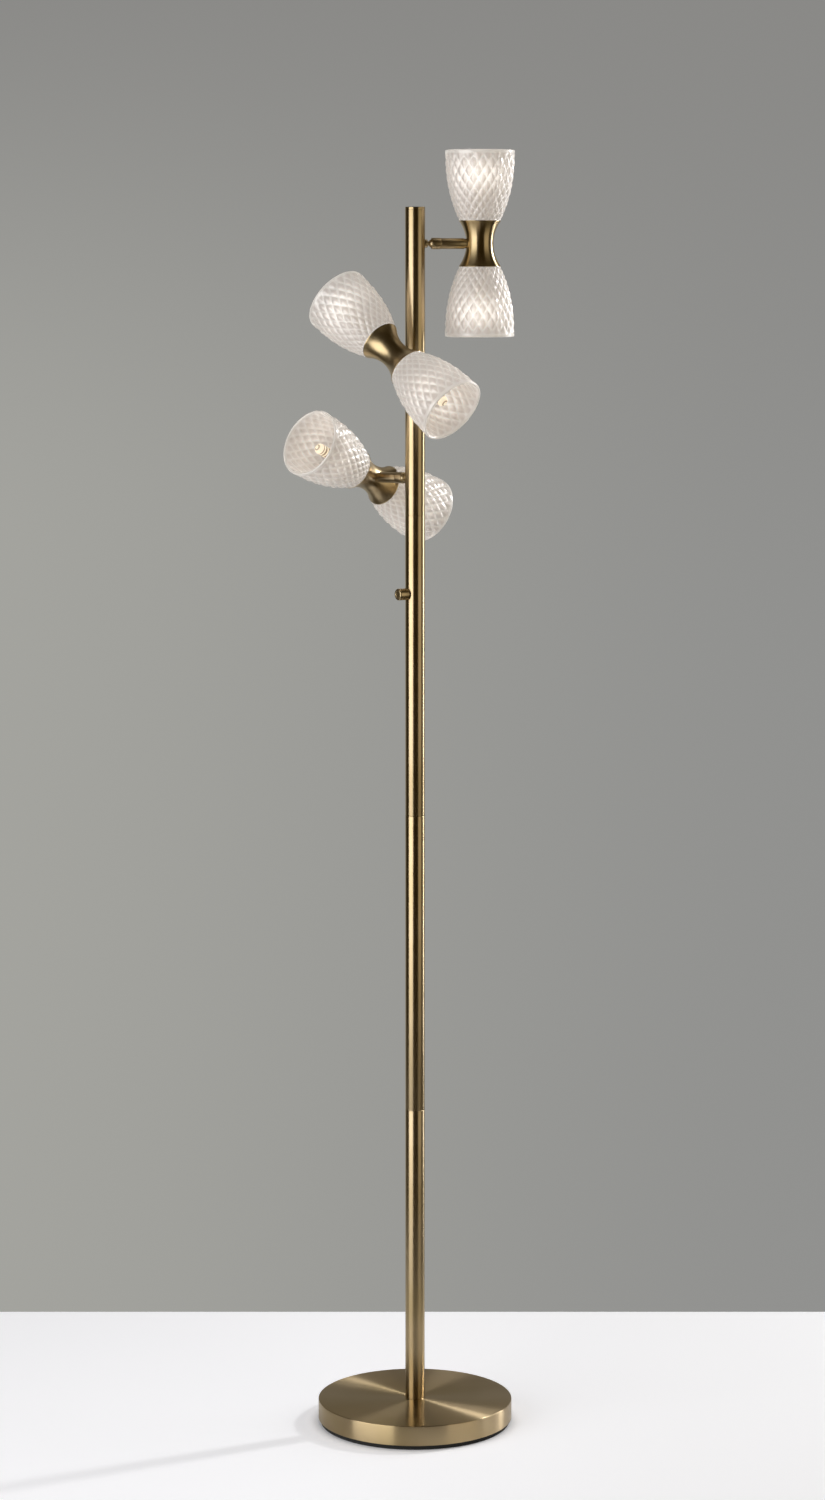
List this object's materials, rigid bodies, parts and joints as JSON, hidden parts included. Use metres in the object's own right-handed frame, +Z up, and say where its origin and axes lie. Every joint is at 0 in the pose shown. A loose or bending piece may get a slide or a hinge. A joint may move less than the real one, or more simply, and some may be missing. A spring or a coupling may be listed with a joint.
{
  "type": "tree floor lamp",
  "caption": "Tree floor lamp: round base, slim pole with a turning switch knob, and ball-jointed arms carrying brass hourglass spools with a textured glass bell shade at each end.",
  "frame": {"origin": "centre of the underside of the base pad, on the floor under the pole axis", "axes": "+Z up along the pole; +X to the right and -Y towards the viewer in the picture"},
  "size_m": [0.2949, 0.3415, 1.6545],
  "materials": {
    "antique_brass": "satin antique brass, brushed round the axis",
    "zinc_steel": "zinc plated",
    "iron": "rough casting",
    "black_foam": "matte black",
    "black_plastic": "moulded",
    "white_plastic": "moulded",
    "white_ceramic": "unglazed",
    "frosted_glass": "pressed diamond relief, lightly frosted",
    "bulb_glass": "opal capsule"
  },
  "bodies": {
    "stand": {"base_pad": "black_foam", "base_weight": "iron", "base_cover": "antique_brass", "cord_bushing": "black_plastic", "base_rod": "zinc_steel", "base_washer": "zinc_steel", "base_nut": "zinc_steel", "pole_tube_1": "antique_brass", "pole_tube_2": "antique_brass", "pole_tube_3": "antique_brass", "pole_tube_4": "antique_brass", "pole_couplers": "zinc_steel", "pole_foot_insert": "zinc_steel", "pole_cap": "antique_brass", "ball_studs": "antique_brass", "stud_nuts": "zinc_steel", "switch_body": "black_plastic", "switch_nut": "zinc_steel"},
    "knob": {"switch_knob": "antique_brass", "switch_shaft": "antique_brass"},
    "head1_swing_ring": {"head1_seat": "white_plastic"},
    "head1_swivel_cap": {"head1_collar": "antique_brass"},
    "head1": {"head1_arm": "antique_brass", "head1_arm_nut": "zinc_steel", "head1_spool": "antique_brass", "head1_end_discs": "zinc_steel", "head1_ring_nuts": "white_plastic", "head1_shade_a": "frosted_glass", "head1_shade_b": "frosted_glass", "head1_holder_a": "white_ceramic", "head1_holder_b": "white_ceramic", "head1_bulb_a": "bulb_glass", "head1_bulb_b": "bulb_glass"},
    "head2_swing_ring": {"head2_seat": "white_plastic"},
    "head2_swivel_cap": {"head2_collar": "antique_brass"},
    "head2": {"head2_arm": "antique_brass", "head2_arm_nut": "zinc_steel", "head2_spool": "antique_brass", "head2_end_discs": "zinc_steel", "head2_ring_nuts": "white_plastic", "head2_shade_a": "frosted_glass", "head2_shade_b": "frosted_glass", "head2_holder_a": "white_ceramic", "head2_holder_b": "white_ceramic", "head2_bulb_a": "bulb_glass", "head2_bulb_b": "bulb_glass"},
    "head3_swing_ring": {"head3_seat": "white_plastic"},
    "head3_swivel_cap": {"head3_collar": "antique_brass"},
    "head3": {"head3_arm": "antique_brass", "head3_arm_nut": "zinc_steel", "head3_spool": "antique_brass", "head3_end_discs": "zinc_steel", "head3_ring_nuts": "white_plastic", "head3_shade_a": "frosted_glass", "head3_shade_b": "frosted_glass", "head3_holder_a": "white_ceramic", "head3_holder_b": "white_ceramic", "head3_bulb_a": "bulb_glass", "head3_bulb_b": "bulb_glass"}
  },
  "joints": [
    {"name": "head1_swing", "type": "hinge", "parent": "stand", "child": "head1_swing_ring", "pos_m": [0.0225, 0.00478, 1.537], "axis": [0, 0, 1], "range_deg": [-10, 10]},
    {"name": "head1_tilt", "type": "hinge", "parent": "head1_swing_ring", "child": "head1_swivel_cap", "pos_m": [0.0225, 0.00478, 1.537], "axis": [0.2079, -0.9781, 0], "range_deg": [-9, 25]},
    {"name": "head1_turn", "type": "hinge", "parent": "head1_swivel_cap", "child": "head1", "pos_m": [0.0225, 0.00478, 1.537], "axis": [0.9781, 0.2079, 0], "range_deg": [-170, 170]},
    {"name": "head2_swing", "type": "hinge", "parent": "stand", "child": "head2_swing_ring", "pos_m": [-0.00711, -0.02187, 1.3725], "axis": [0, 0, 1], "range_deg": [-8, 12]},
    {"name": "head2_tilt", "type": "hinge", "parent": "head2_swing_ring", "child": "head2_swivel_cap", "pos_m": [-0.00711, -0.02187, 1.3725], "axis": [-0.9367, 0.3502, 0], "range_deg": [-36, 2]},
    {"name": "head2_turn", "type": "hinge", "parent": "head2_swivel_cap", "child": "head2", "pos_m": [-0.00711, -0.02187, 1.3725], "axis": [-0.3148, -0.8419, 0.4384], "range_deg": [-12, 60]},
    {"name": "head3_swing", "type": "hinge", "parent": "stand", "child": "head3_swing_ring", "pos_m": [-0.01539, 0.01709, 1.24], "axis": [0, 0, 1], "range_deg": [-14, 6]},
    {"name": "head3_tilt", "type": "hinge", "parent": "head3_swing_ring", "child": "head3_swivel_cap", "pos_m": [-0.01539, 0.01709, 1.24], "axis": [0.6947, 0.7193, 0], "range_deg": [-8, 11]},
    {"name": "head3_turn", "type": "hinge", "parent": "head3_swivel_cap", "child": "head3", "pos_m": [-0.01539, 0.01709, 1.24], "axis": [-0.7191, 0.6945, -0.0244], "range_deg": [-170, 170]},
    {"name": "switch_turn", "type": "hinge", "parent": "stand", "child": "knob", "pos_m": [0, 0, 1.093], "axis": [-0.8192, -0.5736, 0], "continuous": true}
  ]
}
